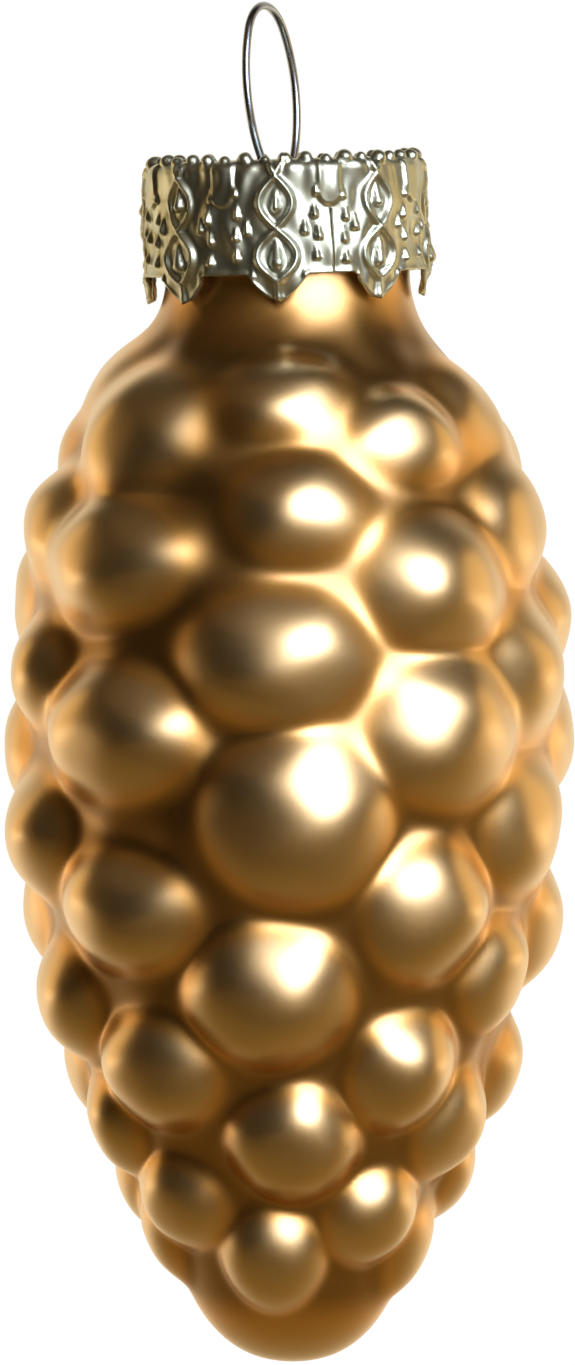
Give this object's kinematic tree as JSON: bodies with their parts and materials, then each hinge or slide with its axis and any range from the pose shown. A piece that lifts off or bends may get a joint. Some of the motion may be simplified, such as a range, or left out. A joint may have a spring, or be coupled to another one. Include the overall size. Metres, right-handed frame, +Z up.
{
  "type": "pine cone ornament",
  "caption": "Blown glass pine cone ornament with a bumpy silvered shell, a stamped crown cap and a sprung wire hanging loop.",
  "frame": {"origin": "hang point: the inside top of the wire loop, where a hook or ribbon bears", "axes": "+Z up along the hanging direction, from the tip of the cone to the loop; -Y towards the viewer's side, +X to the viewer's right"},
  "size_m": [0.0351, 0.0355, 0.0832],
  "materials": {
    "lacquered_glass": "silvered inside, satin copper-gold lacquer outside",
    "cap_metal": "bright pale-gold stamped tinplate",
    "steel_wire": "bright drawn spring wire"
  },
  "bodies": {
    "root": {"glass_body": "lacquered_glass", "metal_cap": "cap_metal", "wire_hanger": "steel_wire"}
  },
  "joints": []
}
